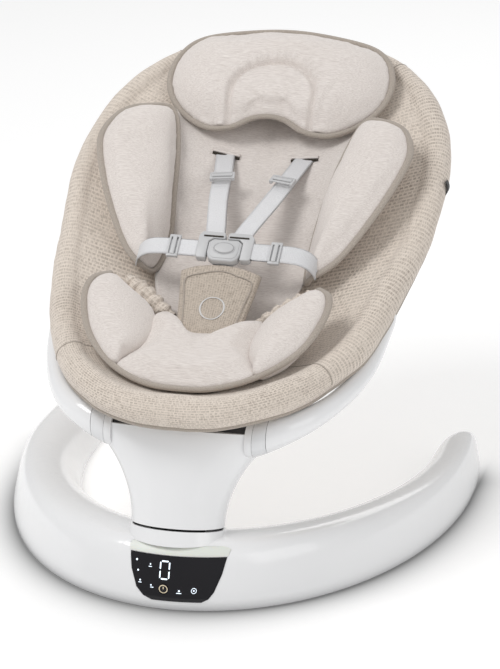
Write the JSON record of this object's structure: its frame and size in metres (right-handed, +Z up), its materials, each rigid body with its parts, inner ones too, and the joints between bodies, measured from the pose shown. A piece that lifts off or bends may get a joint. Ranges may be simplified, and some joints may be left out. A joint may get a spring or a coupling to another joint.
{
  "type": "baby swing",
  "caption": "Powered baby swing: a horseshoe floor base with a touch control window, a swinging forked neck and a padded oval seat with inserts, head pillow and harness.",
  "frame": {"origin": "on the floor under the middle of the object's bounding box", "axes": "+X to the sitter's left hand side seen from the foot end (to the right of a viewer at the foot end), +Y from the foot end to the head end, +Z up"},
  "size_m": [0.6, 0.7104, 0.5549],
  "materials": {
    "white_plastic": "gloss",
    "window": "gloss",
    "cream_plastic": "satin",
    "dark_plastic": "matte",
    "key_plastic": "gloss",
    "rubber": "matte",
    "steel": "machined",
    "magnet": "plated",
    "copper": "enamelled wire",
    "circuit_board": "matte",
    "hoop_tube": "satin",
    "beige_fabric": "woven",
    "cream_fabric": "brushed knit",
    "board": "pressed board",
    "grey_webbing": "ribbed webbing",
    "grey_plastic": "satin",
    "label_fabric": "woven"
  },
  "bodies": {
    "base": {"base_shell": "white_plastic", "control_window": "window", "light_strip": "cream_plastic", "base_bottom_plate": "dark_plastic", "base_screws": "steel", "rubber_feet": "rubber", "control_board": "circuit_board", "speaker": "dark_plastic", "dc_inlet": "dark_plastic", "bearing_housing": "dark_plastic", "housing_screws": "steel", "bearing_outer_rings": "steel", "bearing_balls": "steel", "seal_ring": "rubber", "coil_bobbin": "dark_plastic", "coil_winding": "copper", "coil_bracket": "dark_plastic", "stop_bumpers": "rubber"},
    "neck": {"neck_shell": "white_plastic", "hub_bands": "white_plastic", "neck_floor_plate": "dark_plastic", "neck_core": "dark_plastic", "swing_shaft": "steel", "bearing_inner_rings": "steel", "shaft_nut": "steel", "magnet_arm": "dark_plastic", "drive_magnets": "magnet", "neck_screws": "steel", "recline_pins": "steel"},
    "seat": {"seat_hoop": "hoop_tube", "right_arm": "white_plastic", "left_arm": "white_plastic", "padded_rim": "beige_fabric", "seat_cover": "beige_fabric", "seat_board": "board", "back_insert": "cream_fabric", "right_back_wing": "cream_fabric", "left_back_wing": "cream_fabric", "thigh_pad": "cream_fabric", "right_thigh_bolster": "cream_fabric", "left_thigh_bolster": "cream_fabric", "head_pillow": "cream_fabric", "buckle_body": "grey_plastic", "right_waist_webbing": "grey_webbing", "left_waist_webbing": "grey_webbing", "right_upper_shoulder_webbing": "grey_webbing", "left_upper_shoulder_webbing": "grey_webbing", "crotch_pad": "beige_fabric", "crotch_webbing": "grey_webbing", "side_label": "label_fabric"},
    "power_key": {"power_key": "key_plastic"},
    "buckle_button": {"buckle_button": "grey_plastic"},
    "right_connector": {"right_connector": "grey_plastic", "right_lower_shoulder_webbing": "grey_webbing"},
    "left_connector": {"left_connector": "grey_plastic", "left_lower_shoulder_webbing": "grey_webbing"},
    "right_shoulder_adjuster": {"right_shoulder_adjuster": "grey_plastic"},
    "left_shoulder_adjuster": {"left_shoulder_adjuster": "grey_plastic"},
    "right_waist_adjuster": {"right_waist_adjuster": "grey_plastic"},
    "left_waist_adjuster": {"left_waist_adjuster": "grey_plastic"}
  },
  "joints": [
    {"name": "swing", "type": "hinge", "parent": "base", "child": "neck", "pos_m": [0, -0.282, 0.084], "axis": [0, 0.225, 0.9744], "range_deg": [-15, 15]},
    {"name": "recline", "type": "hinge", "parent": "neck", "child": "seat", "pos_m": [0, -0.265, 0.2], "axis": [-1, 0, 0], "range_deg": [0, 12]},
    {"name": "power_key_press", "type": "slide", "parent": "base", "child": "power_key", "axis": [0, 1, 0], "range_m": [0, 0.001], "stiffness_N_per_m": 500, "springref_m": -0.001},
    {"name": "buckle_button_press", "type": "slide", "parent": "seat", "child": "buckle_button", "axis": [0, 0.6157, -0.788], "range_m": [0, 0.0014], "stiffness_N_per_m": 600, "springref_m": -0.001},
    {"name": "right_connector_release", "type": "slide", "parent": "seat", "child": "right_connector", "axis": [1, 0, 0], "range_m": [0, 0.012]},
    {"name": "left_connector_release", "type": "slide", "parent": "seat", "child": "left_connector", "axis": [-1, 0, 0], "range_m": [0, 0.012]},
    {"name": "right_shoulder_adjust", "type": "slide", "parent": "seat", "child": "right_shoulder_adjuster", "axis": [0.1825, 0.9413, 0.284], "range_m": [0, 0.02]},
    {"name": "left_shoulder_adjust", "type": "slide", "parent": "seat", "child": "left_shoulder_adjuster", "axis": [-0.1825, 0.9413, 0.284], "range_m": [0, 0.02]},
    {"name": "right_waist_adjust", "type": "slide", "parent": "seat", "child": "right_waist_adjuster", "axis": [1, 0, 0], "range_m": [-0.008, 0.02]},
    {"name": "left_waist_adjust", "type": "slide", "parent": "seat", "child": "left_waist_adjuster", "axis": [-1, 0, 0], "range_m": [-0.008, 0.02]}
  ]
}
